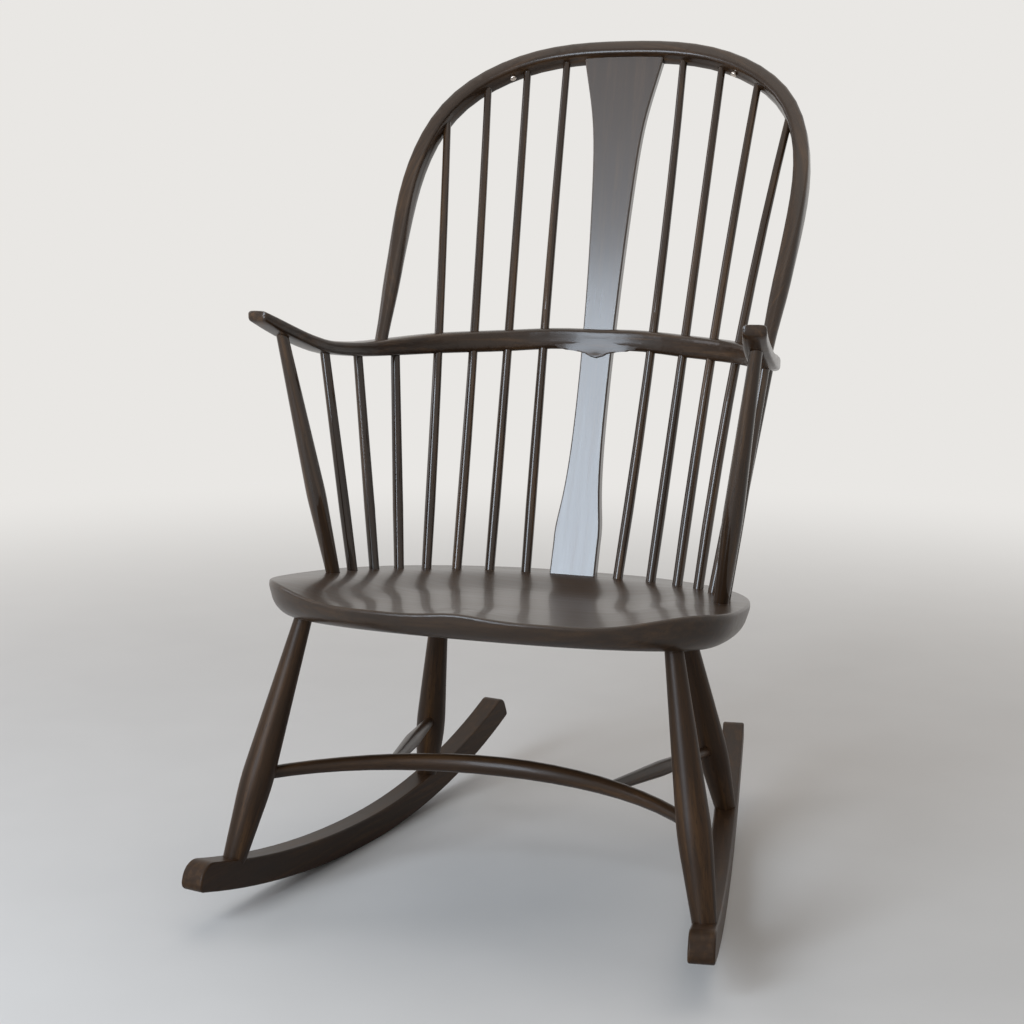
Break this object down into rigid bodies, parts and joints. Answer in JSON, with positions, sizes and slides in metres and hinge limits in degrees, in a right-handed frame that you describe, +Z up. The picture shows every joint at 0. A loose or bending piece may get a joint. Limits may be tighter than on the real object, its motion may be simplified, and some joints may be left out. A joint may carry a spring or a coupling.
{
  "type": "hoop back rocking chair",
  "caption": "Wooden rocking chair with a saddled seat, bowed hoop back of spindles around a shaped splat, a one-piece arm bow, splayed legs on curved rockers and a bowed stretcher.",
  "frame": {"origin": "on the floor under the middle of the chair's outer box, with the rockers resting on the floor", "axes": "+X to the viewer's right from the front, +Y to the back of the chair, +Z up"},
  "size_m": [0.6302, 0.7534, 1.0596],
  "materials": {
    "seat_wood": "dark stain under satin lacquer",
    "bow_wood": "dark stain under satin lacquer",
    "hoop_wood": "dark stain under satin lacquer",
    "splat_wood": "dark stain under satin lacquer",
    "spindle_wood": "dark stain under satin lacquer",
    "post_wood": "dark stain under satin lacquer",
    "leg_wood": "dark stain under satin lacquer",
    "rocker_wood": "dark stain under satin lacquer",
    "stretcher_wood": "dark stain under satin lacquer",
    "stud_metal": "bright plated"
  },
  "bodies": {
    "root": {"seat": "seat_wood", "arm_bow": "bow_wood", "hoop": "hoop_wood", "back_splat": "splat_wood", "right_long_spindle_1": "spindle_wood", "right_long_spindle_2": "spindle_wood", "right_long_spindle_3": "spindle_wood", "right_long_spindle_4": "spindle_wood", "right_short_spindle_1": "spindle_wood", "right_short_spindle_2": "spindle_wood", "right_short_spindle_3": "spindle_wood", "right_arm_post": "post_wood", "right_front_leg": "leg_wood", "right_rear_leg": "leg_wood", "right_rocker": "rocker_wood", "right_stretcher_spur": "stretcher_wood", "right_cushion_stud": "stud_metal", "left_long_spindle_1": "spindle_wood", "left_long_spindle_2": "spindle_wood", "left_long_spindle_3": "spindle_wood", "left_long_spindle_4": "spindle_wood", "left_short_spindle_1": "spindle_wood", "left_short_spindle_2": "spindle_wood", "left_short_spindle_3": "spindle_wood", "left_arm_post": "post_wood", "left_front_leg": "leg_wood", "left_rear_leg": "leg_wood", "left_rocker": "rocker_wood", "left_stretcher_spur": "stretcher_wood", "left_cushion_stud": "stud_metal", "bow_stretcher": "stretcher_wood"}
  },
  "joints": []
}
